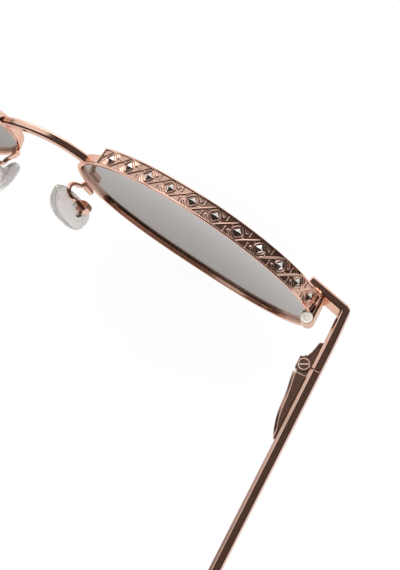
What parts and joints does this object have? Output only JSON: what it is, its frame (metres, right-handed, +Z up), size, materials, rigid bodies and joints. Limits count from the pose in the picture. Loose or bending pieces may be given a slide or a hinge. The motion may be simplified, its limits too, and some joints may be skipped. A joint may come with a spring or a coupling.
{
  "type": "sunglasses",
  "caption": "Metal-framed oval sunglasses with studded brow bands, nose pads on wire arms and folding temples on spring hinges",
  "frame": {"origin": "centre of the bottom of the bounding box, under the middle of the bridge-to-tip length, on the surface that the rims and the temple tips stand on", "axes": "+X towards the wearer's left temple, +Y from the lenses back along the open temples, +Z up towards the studded brow bands"},
  "size_m": [0.1498, 0.1548, 0.0478],
  "materials": {
    "rose_gold": "polished pinkish gold plating on the frame metal",
    "stud_metal": "polished dark plated metal, four flat facets",
    "screw_steel": "polished plated screw",
    "slider_steel": "bright machined steel",
    "spring_steel": "bare spring wire",
    "lens_tint": "smooth neutral grey tinted lens",
    "pad_silicone": "soft milky translucent silicone",
    "tip_acetate": "polished dark brown acetate"
  },
  "bodies": {
    "front": {"eyewire_left": "rose_gold", "lens_left": "lens_tint", "brow_band_left": "rose_gold", "stud_01_left": "stud_metal", "stud_02_left": "stud_metal", "stud_03_left": "stud_metal", "stud_04_left": "stud_metal", "stud_05_left": "stud_metal", "stud_06_left": "stud_metal", "stud_07_left": "stud_metal", "stud_08_left": "stud_metal", "stud_09_left": "stud_metal", "stud_10_left": "stud_metal", "stud_11_left": "stud_metal", "end_piece_left": "rose_gold", "closing_block_upper_left": "rose_gold", "closing_block_lower_left": "rose_gold", "rim_screw_left": "screw_steel", "hinge_leaf_left": "rose_gold", "hinge_screw_left": "screw_steel", "pad_arm_left": "rose_gold", "pad_box_left": "rose_gold", "pad_screw_left": "screw_steel", "eyewire_right": "rose_gold", "lens_right": "lens_tint", "brow_band_right": "rose_gold", "stud_01_right": "stud_metal", "stud_02_right": "stud_metal", "stud_03_right": "stud_metal", "stud_04_right": "stud_metal", "stud_05_right": "stud_metal", "stud_06_right": "stud_metal", "stud_07_right": "stud_metal", "stud_08_right": "stud_metal", "stud_09_right": "stud_metal", "stud_10_right": "stud_metal", "stud_11_right": "stud_metal", "end_piece_right": "rose_gold", "closing_block_upper_right": "rose_gold", "closing_block_lower_right": "rose_gold", "rim_screw_right": "screw_steel", "hinge_leaf_right": "rose_gold", "hinge_screw_right": "screw_steel", "pad_arm_right": "rose_gold", "pad_box_right": "rose_gold", "pad_screw_right": "screw_steel", "bridge": "rose_gold"},
    "knuckle_left": {"hinge_slider_left": "slider_steel"},
    "arm_left": {"spring_housing_left": "rose_gold", "temple_left": "rose_gold", "temple_tip_left": "tip_acetate", "hinge_spring_left": "spring_steel"},
    "pad_left": {"nose_pad_left": "pad_silicone"},
    "knuckle_right": {"hinge_slider_right": "slider_steel"},
    "arm_right": {"spring_housing_right": "rose_gold", "temple_right": "rose_gold", "temple_tip_right": "tip_acetate", "hinge_spring_right": "spring_steel"},
    "pad_right": {"nose_pad_right": "pad_silicone"}
  },
  "joints": [
    {"name": "fold_left", "type": "hinge", "parent": "front", "child": "knuckle_left", "pos_m": [0.07029, -0.05589, 0.02991], "axis": [0, 0, 1], "range_deg": [0, 90]},
    {"name": "flex_left", "type": "slide", "parent": "knuckle_left", "child": "arm_left", "axis": [0, 1, 0], "range_m": [0, 0.0012], "stiffness_N_per_m": 2500, "springref_m": -0.0004, "deforming": ["hinge_spring_left"]},
    {"name": "pad_tilt_left", "type": "hinge", "parent": "front", "child": "pad_left", "pos_m": [0.01094, -0.06725, 0.01882], "axis": [0.0489, 0.9932, 0.1054], "range_deg": [-10, 10]},
    {"name": "fold_right", "type": "hinge", "parent": "front", "child": "knuckle_right", "pos_m": [-0.07029, -0.05589, 0.02991], "axis": [0, 0, -1], "range_deg": [0, 84]},
    {"name": "flex_right", "type": "slide", "parent": "knuckle_right", "child": "arm_right", "axis": [0, 1, 0], "range_m": [0, 0.0012], "stiffness_N_per_m": 2500, "springref_m": -0.0004, "deforming": ["hinge_spring_right"]},
    {"name": "pad_tilt_right", "type": "hinge", "parent": "front", "child": "pad_right", "pos_m": [-0.01094, -0.06725, 0.01882], "axis": [-0.0489, 0.9932, 0.1054], "range_deg": [-10, 10]}
  ]
}
